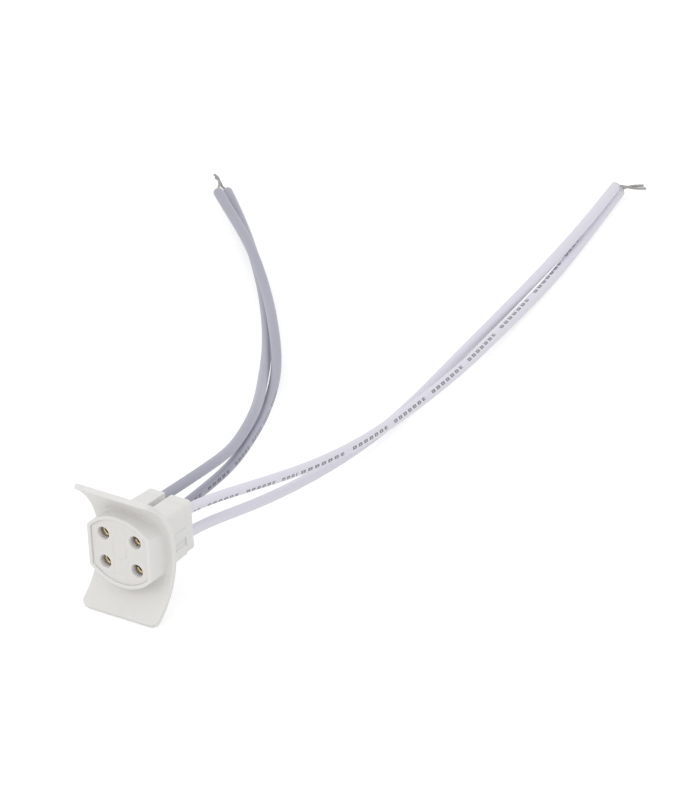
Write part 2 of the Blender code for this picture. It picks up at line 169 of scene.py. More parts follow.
def makeCamera(values):
    azimuth = math.radians(values["azimuth"])
    elevation = math.radians(values["elevation"])
    roll = math.radians(values["roll"])
    level = math.cos(elevation)
    back = Vector((math.sin(azimuth) * level, -math.cos(azimuth) * level, math.sin(elevation)))
    levelRight = Vector((math.cos(azimuth), math.sin(azimuth), 0))
    right = levelRight * math.cos(roll) + back.cross(levelRight) * math.sin(roll)
    up = back.cross(right)
    data = bpy.data.cameras.new("camera")
    data.lens = values["lens"]
    data.sensor_width = values["sensor"]
    data.clip_start = values["distance"] * values["nearShare"]
    data.clip_end = values["distance"] * values["farShare"]
    camera = addPiece("camera", data)
    turn = Matrix((right, up, back)).transposed().to_4x4()
    camera.matrix_world = Matrix.Translation(Vector(values["aim"]) + back * values["distance"]) @ turn
    scene.camera = camera


makeCamera(cameraValues)
print("camera placed")

# Leads: the same points as the CAD source, in metres
leadValues = {
    "diameter": 0.0022,
    "skinInset": 0.00002,  # keeps the round skin inside the CAD rod's box
    "sides": 40,
    "cadSpacing": 0.0055,  # the steps of the CAD source, from which the bare ends start
    "spacing": 0.0010,
    "lipRadius": 0.00022,
    "lipSteps": 5,
    "boreRadius": 0.00036,
    "boreDepth": 0.0004,
    "boreTaper": 0.05,
    "capCorners": 8,  # only the end faces have more corners than this
    "startInside": 0.0118,
    "coverRear": 0.0163,
    "exitAcross": 0.00375,
    "exitHeight": 0.00262,
}
leadRoutes = {
    "lead_1": [
        (-0.00304, 0.02467, 0.00307), (-0.00392, 0.03388, 0.00230), (-0.00887, 0.04820, -0.00107),
        (-0.01787, 0.06680, -0.00416), (-0.03020, 0.08529, -0.00899), (-0.04466, 0.10561, -0.01258),
        (-0.05719, 0.12096, -0.01280), (-0.07181, 0.13643, -0.01284), (-0.08288, 0.14691, -0.01284),
        (-0.09373, 0.15642, -0.01279)],
    "lead_2": [
        (0.00401, 0.01879, 0.00252), (0.00680, 0.03021, 0.00171), (0.00877, 0.04687, -0.00115),
        (0.00815, 0.06669, -0.00456), (0.00444, 0.08868, -0.00801), (0.00033, 0.11139, -0.01032),
        (-0.00499, 0.13449, -0.01216), (-0.00969, 0.15704, -0.01265), (-0.01512, 0.17723, -0.01285),
        (-0.02111, 0.19841, -0.01274)],
    "lead_3": [
        (-0.00594, 0.03377, -0.00372), (-0.00728, 0.04320, -0.00389), (-0.01190, 0.05682, -0.00491),
        (-0.02296, 0.07740, -0.00896), (-0.03375, 0.09455, -0.01041), (-0.04361, 0.10673, -0.00994),
        (-0.05566, 0.11994, -0.01034), (-0.07107, 0.13446, -0.00988), (-0.08215, 0.14354, -0.01020),
        (-0.09208, 0.15122, -0.01019)],
    "lead_4": [
        (0.00349, 0.02121, -0.00320), (0.00492, 0.03524, -0.00488), (0.00472, 0.05104, -0.00732),
        (0.00180, 0.07357, -0.01089), (-0.00121, 0.09337, -0.01244), (-0.00544, 0.11760, -0.01248),
        (-0.00938, 0.14018, -0.01227), (-0.01189, 0.15956, -0.01080), (-0.01509, 0.17654, -0.01009),
        (-0.02027, 0.19587, -0.01025)],
}
poles = {"lead_1": (-1, 1), "lead_2": (1, 1), "lead_3": (-1, -1), "lead_4": (1, -1)}
pairs = {"grey": ("lead_1", "lead_3"), "white": ("lead_2", "lead_4")}


def smoothRoute(points, spacing):
    # points at even steps along the natural cubic spline through the given points
    knots = np.array(points, dtype=float)
    spans = np.linalg.norm(np.diff(knots, axis=0), axis=1)
    marks = np.concatenate([[0], np.cumsum(spans)])
    count = len(knots)
    system = np.eye(count)
    right = np.zeros((count, 3))
    for i in range(1, count - 1):
        system[i, i - 1:i + 2] = (spans[i - 1], 2 * (spans[i - 1] + spans[i]), spans[i])
        right[i] = 6 * ((knots[i + 1] - knots[i]) / spans[i] - (knots[i] - knots[i - 1]) / spans[i - 1])
    bends = np.linalg.solve(system, right)
    result = []
    for mark in np.linspace(0, marks[-1], math.ceil(marks[-1] / spacing) + 1):
        i = min(int(np.searchsorted(marks, mark, side="right")) - 1, count - 2)
        before = mark - marks[i]
        after = marks[i + 1] - mark
        span = spans[i]
        curved = (bends[i] * after ** 3 + bends[i + 1] * before ** 3) / (6 * span)
        fromStart = (knots[i] / span - bends[i] * span / 6) * after
        fromEnd = (knots[i + 1] / span - bends[i + 1] * span / 6) * before
        result.append(curved + fromStart + fromEnd)
    return np.array(result)


def lineLength(points):
    return float(np.linalg.norm(np.diff(points, axis=0), axis=1).sum())


def unit(vector):
    return vector / np.linalg.norm(vector)


def eased(share):
    # from 0 to 1 with a slow start and end
    share = np.clip(share, 0, 1)
    return share * share * (3 - 2 * share)


def addInputs(nodeTree, inputs):
    # named inputs of a Geometry Nodes tree; returns the identifiers that a modifier sets
    made = {}
    for name, kind in inputs.items():
        socket = nodeTree.interface.new_socket(name=name, in_out="INPUT", socket_type=kind)
        made[name] = socket.identifier
    nodeTree.interface.new_socket(name="Geometry", in_out="OUTPUT", socket_type="NodeSocketGeometry")
    return made


def pathTree():
    # a tube along a line of edges, round or lobed like a stranded conductor, scaled by the line's "swell";
    # it leaves two attributes for the finishes: metres "along" the line, and the direction "round" it
    nodeTree = bpy.data.node_groups.new("tube along a path", "GeometryNodeTree")
    names = addInputs(nodeTree, {
        "Geometry": "NodeSocketGeometry", "Radius": "NodeSocketFloat", "Sides": "NodeSocketInt",
        "Strands": "NodeSocketFloat", "Lobe Depth": "NodeSocketFloat", "Turns": "NodeSocketFloat",
        "Material": "NodeSocketMaterial"})
    tree = Tree(nodeTree)
    given = dict(zip(names, tree.outputs("NodeGroupInput")))
    line = tree.node("GeometryNodeMeshToCurve", {"Mesh": given["Geometry"]})
    share = tree.node("GeometryNodeSplineParameter")
    reach = tree.node("GeometryNodeSplineParameter", output="Length")
    twist = share * given["Turns"] * math.tau
    upright = tree.node("GeometryNodeSetCurveNormal", {"Curve": line}, {"mode": "Z_UP"})
    turned = tree.node("GeometryNodeSetCurveTilt", {"Curve": upright, "Tilt": twist})
    marked = tree.node(
        "GeometryNodeStoreNamedAttribute", {"Geometry": turned, "Name": "along", "Value": reach},
        {"data_type": "FLOAT", "domain": "POINT"})
    profile = tree.node(
        "GeometryNodeCurvePrimitiveCircle", {"Resolution": given["Sides"], "Radius": given["Radius"]})
    spot = tree.node("GeometryNodeInputPosition")
    outwards = tree.node("ShaderNodeVectorMath", {0: spot}, {"operation": "NORMALIZE"})
    profile = tree.node(
        "GeometryNodeStoreNamedAttribute", {"Geometry": profile, "Name": "round", "Value": outwards},
        {"data_type": "FLOAT_VECTOR", "domain": "POINT"})
    turn = tree.node("GeometryNodeSplineParameter")
    wave = (turn * given["Strands"] * math.tau).maths("COSINE")
    lobe = 1 - (1 - wave) * given["Lobe Depth"] / 2
    lobed = tree.node("ShaderNodeVectorMath", {0: spot, "Scale": lobe}, {"operation": "SCALE"})
    profile = tree.node("GeometryNodeSetPosition", {"Geometry": profile, "Position": lobed})
    swell = tree.node(
        "GeometryNodeInputNamedAttribute", {"Name": "swell"}, {"data_type": "FLOAT"}, output="Attribute")
    skin = tree.node(
        "GeometryNodeCurveToMesh",
        {"Curve": marked, "Profile Curve": profile, "Scale": swell, "Fill Caps": True})
    smooth = tree.node("GeometryNodeSetShadeSmooth", {"Geometry": skin})
    real = tree.node("GeometryNodeRealizeInstances", {"Geometry": smooth})
    clad = tree.node("GeometryNodeSetMaterial", {"Geometry": real, "Material": given["Material"]})
    tree.node("NodeGroupOutput", {"Geometry": clad})
    return nodeTree, names


tubeTree, tubeInputs = pathTree()


def tubeAlong(name, points, swells, values):
    # a plain mesh made by the tube tree along the points
    line = bpy.data.meshes.new(name)
    line.from_pydata([tuple(point) for point in points], [(i, i + 1) for i in range(len(points) - 1)], [])
    line.attributes.new("swell", "FLOAT", "POINT").data.foreach_set("value", swells)
    host = addPiece(name + "_line", line)
    modifier = host.modifiers.new("tube", "NODES")
    modifier.node_group = tubeTree
    for label, value in values.items():
        modifier[tubeInputs[label]] = value
    return plainMesh(host, name)


def sinkBore(piece, tip, radius, values):
    # the small hole in a lead's end face, where its conductor comes out
    bore = values["boreRadius"]
    work = bmesh.new()
    work.from_mesh(piece.data)
    caps = [face for face in work.faces if len(face.verts) > values["capCorners"]]
    cap = min(caps, key=lambda face: (face.calc_center_median() - Vector(tip)).length)
    bmesh.ops.inset_individual(work, faces=[cap], thickness=radius - bore)
    bmesh.ops.inset_individual(
        work, faces=[cap], thickness=bore * values["boreTaper"], depth=-values["boreDepth"])
    work.to_mesh(piece.data)
    work.free()


def leadPoints(name, spacing):
    # a lead's middle line: straight out of the cover, then along its route
    side, height = poles[name]
    across = side * leadValues["exitAcross"]
    up = height * leadValues["exitHeight"]
    straight = [(across, leadValues["startInside"], up), (across, leadValues["coverRear"], up)]
    return smoothRoute(straight + leadRoutes[name], spacing)


def makeLead(name, points, material, values):
    # the insulation of one lead, with a rounded lip at its far end
    radius = values["diameter"] / 2 - values["skinInset"]
    way = unit(points[-1] - points[-2])
    tip = points[-1]
    lip = values["lipRadius"]
    turns = np.linspace(0, math.pi / 2, values["lipSteps"] + 1)
    line = [*points[:-1], *(tip + way * lip * (np.sin(turn) - 1) for turn in turns)]
    swells = [1.0] * (len(points) - 1) + [1 - lip / radius * (1 - math.cos(turn)) for turn in turns]
    piece = tubeAlong(name + "_insulation", line, swells, {
        "Radius": radius, "Sides": values["sides"], "Strands": 0.0, "Lobe Depth": 0.0, "Turns": 0.0,
        "Material": material})
    sinkBore(piece, tip, radius - lip, values)
    return piece


# Bare far ends, wound part of a turn round each other, along the same lines as in the CAD source
bareValues = {
    "diameter": 0.00055,
    "gap": 0.00005,
    "reach": 0.0012,
    "spacing": 0.00026,
    "joinShare": 0.4,
    "finer": 3,
    "sides": 42,
    "strands": 7,
    "lobeDepth": 0.22,
    "turnsPerMetre": 260,
    "sunk": 0.0003,
    "tipSteps": 3,
    "tipShare": 0.72,  # of the full thickness, at the very tip
}
pairLines = {
    "grey": [(-0.09552, 0.15654, -0.01200), (-0.09668, 0.15782, -0.01200), (-0.09816, 0.15915, -0.01210),
             (-0.09987, 0.15997, -0.01220)],
    "white": [(-0.02025, 0.19896, -0.01180), (-0.01950, 0.19990, -0.01200), (-0.01803, 0.20075, -0.01200),
              (-0.01655, 0.20166, -0.01200)],
}
pairTurns = {"grey": (-0.1, 0.15), "white": (0, 0.3)}
pairShortfalls = {"grey": (0.00026, 0), "white": (0.00052, 0)}


def windingPoints(line, spread, turns, phase, radius):
    # points of one conductor that winds round the pair's middle line
    last = len(line) - 1
    points = []
    for step, centre in enumerate(line):
        axis = unit(line[min(step + 1, last)] - line[max(step - 1, 0)])
        across = unit(spread - axis * np.dot(spread, axis))
        angle = math.tau * (turns[0] + (turns[1] - turns[0]) * eased(step / last) + phase)
        spoke = across * math.cos(angle) + np.cross(axis, across) * math.sin(angle)
        points.append(centre + radius * spoke)
    return points


def makeBarePair(shade, material, values):
    # the two stripped ends of one pair of leads
    routes = [leadPoints(name, leadValues["cadSpacing"]) for name in pairs[shade]]
    ends = [route[-1] for route in routes]
    ways = [unit(route[-1] - route[-2]) for route in routes]
    middle = (ends[0] + ends[1]) / 2 + (ways[0] + ways[1]) / 2 * values["reach"]
    line = smoothRoute([middle, *pairLines[shade]], values["spacing"])
    radius = values["diameter"] / 2
    made = {}
    for name, end, way, phase, shortfall in zip(pairs[shade], ends, ways, (0, 0.5), pairShortfalls[shade]):
        wound = windingPoints(line, ends[0] - ends[1], pairTurns[shade], phase, radius + values["gap"])
        points = [end - way * values["sunk"]]
        for step, place in enumerate(wound[:len(wound) - round(shortfall / values["spacing"])]):
            share = step / (len(wound) - 1) / values["joinShare"]
            straight = end + way * (values["gap"] + values["reach"] * share)
            points.append(straight + (place - straight) * eased(share))
        points = smoothRoute(points, values["spacing"] / values["finer"])
        tip = values["tipShare"]
        tipShares = np.clip(np.arange(len(points))[::-1] / values["tipSteps"], 0, 1)
        swells = [tip + (1 - tip) * math.sqrt(1 - (1 - share) ** 2) for share in tipShares]
        number = name[-1]
        made[name] = tubeAlong("bare_strands_" + number, points, swells, {
            "Radius": radius, "Sides": values["sides"], "Strands": float(values["strands"]),
            "Lobe Depth": values["lobeDepth"], "Turns": lineLength(points) * values["turnsPerMetre"],
            "Material": material})
    return made


# Finishes. Colours are linear; scales are in features per metre
plasticValues = {
    "housing": {"colour": (0.775, 0.765, 0.745), "shade": (0.745, 0.735, 0.712), "roughness": 0.42},
    "block": {"colour": (0.765, 0.750, 0.728), "shade": (0.735, 0.720, 0.696), "roughness": 0.46},
    "cover": {"colour": (0.770, 0.768, 0.748), "shade": (0.740, 0.738, 0.716), "roughness": 0.42},
}
plasticSkin = {
    "cloudScale": 130,
    "grainScale": 5200,
    "roughnessSpread": 0.12,
    "grainHeight": 0.000006,
    "grainStrength": 0.35,
    "scatter": 0.18,
    "scatterRadius": (0.0012, 0.0011, 0.0010),
    "refraction": 1.49,
}
insulationValues = {
    "grey": {"colour": (0.395, 0.40, 0.475), "shade": (0.35, 0.355, 0.43)},
    "white": {"colour": (0.74, 0.725, 0.80), "shade": (0.69, 0.675, 0.755)},
}
insulationSkin = {
    "streakAround": 14,
    "streakAlong": 35,
    "streakRoughness": 0.6,
    "streakShare": 0.6,
    "streakHeight": 0.00001,
    "streakStrength": 0.4,
    "mottleScale": 900,
    "rimWidth": 0.0006,
    "rimShare": 0.6,
    "rimColour": (0.52, 0.54, 0.49),
    "roughness": 0.40,
    "roughnessSpread": 0.14,
    "refraction": 1.52,
}
# each line of print: from, to, pitch, dashes in a group, direction at the lead's start, turns a metre
printValues = {
    "colour": (0.10, 0.097, 0.11),
    "wear": 0.3,
    "dashShare": 0.64,
    "hollow": 0.32,
    "gap": 1.5,
    "width": 0.095,
    "leads": {
        "lead_2": [(0.006, 0.034, 0.0014, 7, 0.10, -2.45), (0.034, 0.170, 0.0022, 8, 0.10, -2.45)],
        "lead_3": [(0.008, 0.080, 0.0019, 6, 0.965, 0.0)],
    },
}
tinValues = {
    "colour": (0.55, 0.54, 0.53),
    "shade": (0.20, 0.195, 0.19),
    "roughness": 0.30,
    "roughnessSpread": 0.2,
    "mottleScale": 2600,
    "mottleRoughness": 0.6,
}
brassValues = {
    "colour": (0.72, 0.59, 0.36),
    "shade": (0.40, 0.30, 0.155),
    "roughness": 0.30,
    "roughnessSpread": 0.2,
    "tarnishScale": 700,
    "drawScale": 9000,
}


def rgba(colour):
    return (*colour, 1)


def newMaterial(name, look, *values):
    # a material whose nodes the look function adds
    material = bpy.data.materials.new(name)
    material.use_nodes = True
    material.node_tree.nodes.clear()
    tree = Tree(material.node_tree)
    surface = look(tree, *values)
    tree.node("ShaderNodeOutputMaterial", {"Surface": surface})
    return material


def mouldedPlastic(tree, values, skin):
    # satin plastic: a cloudy tint and the tool's fine grain
    place = tree.node("ShaderNodeTexCoord", output="Object")
    cloud = tree.noise(place, skin["cloudScale"], 3)
    grain = tree.noise(place, skin["grainScale"], 2)
    colour = tree.blend(cloud, rgba(values["shade"]), rgba(values["colour"]))
    roughness = values["roughness"] + (grain - 0.5) * skin["roughnessSpread"]
    normal = tree.node("ShaderNodeBump", {
        "Height": grain, "Strength": skin["grainStrength"], "Distance": skin["grainHeight"]})
    return tree.node("ShaderNodeBsdfPrincipled", {
        "Base Color": colour, "Roughness": roughness, "Normal": normal,
        "Subsurface Weight": skin["scatter"], "Subsurface Radius": skin["scatterRadius"],
        "Subsurface Scale": 1.0, "IOR": skin["refraction"]})


def printedDashes(tree, across, up, along, values, lines):
    # plain outlined dashes in groups; the line of print drifts round the lead as the lead goes on
    angle = up.maths("ARCTAN2", across)
    edge = math.cos(math.pi * values["width"])
    total = 0
    for start, end, pitch, count, first, drift in lines:
        centre = (along * drift + first) * math.tau
        offAxis = ((1 - (angle - centre).maths("COSINE")) / (1 - edge)).maths("SQRT")
        offMiddle = ((along % pitch) / (pitch * values["dashShare"] / 2) - 1).maths("ABSOLUTE")
        outside = offAxis.maths("MAXIMUM", offMiddle)
        dash = (outside < 1) * (outside > values["hollow"])
        group = (along % (pitch * count)) < pitch * (count - values["gap"])
        reach = (along > start) * (along < end)
        total = total + dash * group * reach
    return total


def insulation(tree, values, skin, inkValues, name, length):
    # extruded sleeve: streaks along the lead, a duller cut end, and dashes of print on two of the leads
    outwards = tree.node("ShaderNodeAttribute", settings={"attribute_name": "round"}, output="Vector")
    across, up = tree.outputs("ShaderNodeSeparateXYZ", {"Vector": outwards})[:2]
    along = tree.node("ShaderNodeAttribute", settings={"attribute_name": "along"}, output="Fac")
    place = tree.node("ShaderNodeCombineXYZ", {
        "X": across * skin["streakAround"], "Y": up * skin["streakAround"], "Z": along * skin["streakAlong"]})
    streak = tree.noise(place, 1, 3, skin["streakRoughness"])
    spot = tree.node("ShaderNodeTexCoord", output="Object")
    mottle = tree.noise(spot, skin["mottleScale"], 2)
    share = streak * skin["streakShare"] + mottle * (1 - skin["streakShare"])
    colour = tree.blend(share, rgba(values["shade"]), rgba(values["colour"]))
    if name in inkValues["leads"]:
        ink = printedDashes(tree, across, up, along, inkValues, inkValues["leads"][name])
        wear = mottle * inkValues["wear"] + 1 - inkValues["wear"]
        colour = tree.blend(ink * wear, colour, rgba(inkValues["colour"]))
    rim = along > length - skin["rimWidth"]
    colour = tree.blend(rim * skin["rimShare"], colour, rgba(skin["rimColour"]))
    roughness = skin["roughness"] + (streak - 0.5) * skin["roughnessSpread"]
    normal = tree.node("ShaderNodeBump", {
        "Height": streak, "Strength": skin["streakStrength"], "Distance": skin["streakHeight"]})
    return tree.node("ShaderNodeBsdfPrincipled", {
        "Base Color": colour, "Roughness": roughness, "Normal": normal, "IOR": skin["refraction"]})


def tinned(tree, values):
    # tinned copper: bright with duller patches
    place = tree.node("ShaderNodeTexCoord", output="Object")
    mottle = tree.noise(place, values["mottleScale"], 3, values["mottleRoughness"])
    colour = tree.blend(mottle, rgba(values["shade"]), rgba(values["colour"]))
    roughness = values["roughness"] + (mottle - 0.5) * values["roughnessSpread"]
    return tree.node("ShaderNodeBsdfPrincipled", {
        "Base Color": colour, "Roughness": roughness, "Metallic": 1.0})


def drawnBrass(tree, values):
    # rolled brass: fine marks across the sleeve and a little tarnish
    place = tree.node("ShaderNodeTexCoord", output="Object")
    tarnish = tree.noise(place, values["tarnishScale"], 3)
    marks = tree.noise(place, values["drawScale"], 1)
    colour = tree.blend(tarnish, rgba(values["shade"]), rgba(values["colour"]))
    roughness = values["roughness"] + (marks - 0.5) * values["roughnessSpread"]
    return tree.node("ShaderNodeBsdfPrincipled", {
        "Base Color": colour, "Roughness": roughness, "Metallic": 1.0})


plastics = {
    name: newMaterial("moulded " + name, mouldedPlastic, values, plasticSkin)
    for name, values in plasticValues.items()}
tin = newMaterial("tinned copper", tinned, tinValues)
brass = newMaterial("rolled brass", drawnBrass, brassValues)
print("finishes made:", len(bpy.data.materials))


def handOver(piece, node):
    # the piece stands for a CAD node
    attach(piece, "root")
    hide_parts(node)


# The leads and their bare ends
for shade, names in pairs.items():
    bareEnds = makeBarePair(shade, tin, bareValues)
    for name in names:
        points = leadPoints(name, leadValues["spacing"])
        reach = lineLength(points)
        sleeve = newMaterial(
            name + " insulation", insulation, insulationValues[shade], insulationSkin, printValues,
            name, reach)
        lead = makeLead(name, points, sleeve, leadValues)
        bare = bareEnds[name]
        handOver(lead, name)
        handOver(bare, "bare_end_" + name[-1])
        side, height = poles[name]
print("leads laid:", len(poles))

# Moulded pieces: the CAD solids with an even fine skin, true rounds and soft edges
mouldingValues = {
    "housing": {
        "voxel": 0.00012, "smoothing": 3, "kept": 0.46, "plastic": "housing", "slot": "housing_plastic"},
    "contact_block": {
        "voxel": 0.00009, "smoothing": 3, "kept": 0.9, "plastic": "block", "slot": "block_plastic"},
    "rear_cover": {
        "voxel": 0.00008, "smoothing": 3, "kept": 1, "plastic": "cover", "slot": "cover_plastic"},
}
# in a pair, where the CAD solids have an edge, and where the closed fit of the real pieces puts it
fitValues = {
    "mergeReach": 0.0000005,
    "reach": 0.00001,  # how near to a named place a point has to lie
    "slotBase": 0.003,  # the slot lies above this height
    "slotHalf": 0.0015,  # and inside this distance from the middle
    "slotLeft": (-0.0002, -0.0011),
    "slotRight": (0.0011, 0.0005),
    "slotFront": (0.0113, 0.0101),
    "grooveStart": 0.0042,  # grooves and recesses lie outside this distance from the middle
    "grooveStep": 0.012,  # where the floor's front part ends
    "grooveFloor": (0.00525, 0.00504, 0.00515),  # CAD, front, rear
    "grooveFront": (0.0110, 0.0101),
    "recessFront": (0.0106, 0.0101),
    "coverHalf": 0.0054,
    "coverBottom": -0.00445,
    "rimStart": 0.0045,
    "coverRings": (  # CAD, real, growth across, growth upwards
        (0.014400, 0.01395, 0.00006, 0.000103),
        (0.014430, 0.01412, 0.00001, 0.00003),
        (0.014503, 0.01430, 0, 0)),
    "coverDrop": 0.0003,
    "armStart": 0.0046,  # the arms lie outside this distance from the middle
    "armRear": 0.013,
    "armFront": (0.0109, 0.01005),
    "armTop": (0.00015, 0.00035),
    "armBottom": (-0.0016, -0.00180),
    "armOuter": (0.00545, 0.005575, 0.00541),  # CAD, front, rear
    "blockBow": 0.00948,  # radius of the block's rounded top and bottom
    "blockHalf": 0.0068,
    "blockRings": ((0, 0.000227), (0.000014, 0.000195)),  # place, growth there
    "blockGrowth": 0.00018,  # growth elsewhere
    "faceDepth": 0.0006,
    "faceMove": -0.0004,
    "blockEdge": 0.00025,
}
# radii of the round skins, which the points near them settle on after the smoothing
roundValues = {
    "saddleAxis": -0.0107,
    "collarAxis": -0.00253,
    "reach": 0.00003,
    "housing": {"saddle": (0.0153, 0.01645, 0.01575), "collar": (0.01043, 0.00963)},
    "contact_block": {"saddle": (0.01545,), "collar": (0.00966,)},
    "rear_cover": {"saddle": (), "collar": ()},
}
holeValues = {
    "across": 0.00396,  # half the rectangle on which the pins stand
    "up": 0.003175,
    "sides": 24,  # of the CAD bores, which are made round
    "squeeze": 0.6,  # new radius = old radius * squeeze + base
    "base": 0.00047,
    "inner": 0.00175,  # the change is full inside this radius
    "outer": 0.00203,  # and fades out at this one
    "depth": 0.00092,
    "fade": 0.00006,
}


def slide(spots, axis, places, where=True):
    # moves the points that lie at one place on an axis to another
    chosen = where & (np.abs(spots[:, axis] - places[0]) < fitValues["reach"])
    spots[chosen, axis] = places[1]


def fitSlot(spots, values):
    # the slot in the top of the box and of the cover
    slot = (spots[:, 2] > values["slotBase"]) & (np.abs(spots[:, 0]) < values["slotHalf"])
    slide(spots, 0, values["slotLeft"], slot)
    slide(spots, 0, values["slotRight"], slot)
    slide(spots, 1, values["slotFront"], slot)


def fitHousing(spots, values):
    # the groove and the recess in each side go deeper and further forward
    fitSlot(spots, values)
    old, front, rear = values["grooveFloor"]
    for side in (1, -1):
        slide(spots, 0, (side * old, side * front), spots[:, 1] < values["grooveStep"])
        slide(spots, 0, (side * old, side * rear))
    for name in ("grooveFront", "recessFront"):
        slide(spots, 1, values[name], np.abs(spots[:, 0]) > values["grooveStart"])


def fitCover(spots, values):
    # the arms and the front edge close flush on the box
    fitSlot(spots, values)
    arm = np.abs(spots[:, 0]) > values["armStart"]
    rear = spots[:, 1] > values["armRear"]
    old, front, back = values["armOuter"]
    outer = arm & (np.abs(np.abs(spots[:, 0]) - old) < values["reach"])
    for end, place in ((~rear, front), (rear, back)):
        chosen = outer & end
        spots[chosen, 0] = np.sign(spots[chosen, 0]) * place
    for name in ("armTop", "armBottom"):
        slide(spots, 2, values[name], arm)
    slide(spots, 1, values["armFront"])
    limit = values["coverHalf"]
    for old, new, *growths in values["coverRings"]:
        ring = np.abs(spots[:, 1] - old) < values["reach"]
        for axis, growth in zip((0, 2), growths):
            edge = ring & (np.abs(spots[:, axis]) > values["rimStart"])
            spots[edge, axis] += np.sign(spots[edge, axis]) * growth
            spots[edge, axis] = np.clip(spots[edge, axis], -limit, limit)
        spots[ring, 1] = new
    spots[spots[:, 2] < values["coverBottom"], 2] -= values["coverDrop"]


def fitBlock(spots, values):
    # the rim of the block grows until it fits the collar, and the face comes forward
    side = np.sign(spots[:, 2])
    bow = np.hypot(spots[:, 0], spots[:, 2] - side * roundValues["collarAxis"])
    rim = values["blockEdge"]
    edge = (bow > values["blockBow"] - rim) | (np.abs(spots[:, 0]) > values["blockHalf"] - rim)
    growth = np.full(len(spots), values["blockGrowth"])
    for place, amount in values["blockRings"]:
        growth[np.abs(spots[:, 1] - place) < values["reach"]] = amount
    reach = np.hypot(spots[:, 0], spots[:, 2])
    for axis in (0, 2):
        spots[edge, axis] *= (1 + growth / reach)[edge]
    spots[spots[:, 1] < values["faceDepth"], 1] += values["faceMove"]


fits = {"housing": fitHousing, "rear_cover": fitCover, "contact_block": fitBlock}


def roundHoles(spots, values):
    # the pin holes made truly round, and drawn in to the pins' size near the face
    step = math.tau / values["sides"]
    for side, height in poles.values():
        offset = spots[:, (0, 2)] - (side * values["across"], height * values["up"])
        radius = np.linalg.norm(offset, axis=1)
        angle = np.arctan2(offset[:, 1], offset[:, 0]) % step - step / 2
        share = eased((values["outer"] - radius) / (values["outer"] - values["inner"]))
        share = share * np.clip((values["depth"] + values["fade"] - spots[:, 1]) / values["fade"], 0, 1)
        wanted = radius * np.cos(angle) / math.cos(step / 2) * values["squeeze"] + values["base"]
        scale = 1 + share * (wanted / np.maximum(radius, values["base"]) - 1)
        near = share > 0
        for column, axis in enumerate((0, 2)):
            spots[near, axis] += offset[near, column] * (scale[near] - 1)


def settleOnRound(spots, chosen, axes, centre, radius, reach):
    # moves points that lie close to a round skin onto it
    offset = spots[:, axes] - centre
    distance = np.linalg.norm(offset, axis=1)
    near = chosen & (np.abs(distance - radius) < reach)
    flat = spots[near]
    flat[:, axes] = centre + offset[near] * (radius / distance[near])[:, None]
    spots[near] = flat


def settleRounds(spots, values, radii):
    everywhere = np.ones(len(spots), dtype=bool)
    for radius in radii["saddle"]:
        settleOnRound(spots, everywhere, (1, 2), (values["saddleAxis"], 0), radius, values["reach"])
    for side in (1, -1):
        half = spots[:, 2] * side > 0
        for radius in radii["collar"]:
            settleOnRound(spots, half, (0, 2), (0, side * values["collarAxis"]), radius, values["reach"])


def softened(spots, edges, rounds):
    # each point moves half way to the middle of its neighbours, again and again
    count = len(spots)
    here, there = np.concatenate([edges, edges[:, ::-1]]).T
    degree = np.bincount(here, minlength=count)[:, None]
    for _ in range(rounds):
        totals = [np.bincount(here, weights=spots[there, axis], minlength=count) for axis in range(3)]
        spots = (spots + np.stack(totals, 1) / degree) / 2
    return spots


def readSpots(mesh):
    spots = np.empty(len(mesh.vertices) * 3)
    mesh.vertices.foreach_get("co", spots)
    return spots.reshape(-1, 3)


def writeSpots(mesh, spots):
    mesh.vertices.foreach_set("co", spots.ravel())
    mesh.update()


def mouldedCopy(name, values):
    # a fine copy of a CAD node with closed fits and soft moulded edges
    work = bmesh.new()
    work.from_mesh(cadNodes[name].data)
    bmesh.ops.remove_doubles(work, verts=work.verts, dist=fitValues["mergeReach"])
    mesh = bpy.data.meshes.new(name + "_merged")
    work.to_mesh(mesh)
    work.free()
    spots = readSpots(mesh)
    fits[name](spots, fitValues)
    writeSpots(mesh, spots)
    host = addPiece(name + "_host", mesh)
    remesh = host.modifiers.new("even skin", "REMESH")
    remesh.mode = "VOXEL"
    remesh.voxel_size = values["voxel"]
    host = plainMesh(host, name + "_fine")
    mesh = host.data
    edges = np.empty(len(mesh.edges) * 2, dtype=np.int64)
    mesh.edges.foreach_get("vertices", edges)
    spots = softened(readSpots(mesh), edges.reshape(-1, 2), values["smoothing"])
    settleRounds(spots, roundValues, roundValues[name])
    if name == "contact_block":
        roundHoles(spots, holeValues)
    writeSpots(mesh, spots)
    if values["kept"] < 1:
        thinned = host.modifiers.new("fewer faces", "DECIMATE")
        thinned.ratio = values["kept"]
    piece = plainMesh(host, name + "_moulding")
    mesh = piece.data
    mesh.shade_smooth()
    mesh.materials.clear()
    mesh.materials.append(plastics[values["plastic"]])
    handOver(piece, name)
    print("moulded:", name, sum(len(face.vertices) - 2 for face in mesh.polygons), "triangles")


for name, values in mouldingValues.items():
    mouldedCopy(name, values)

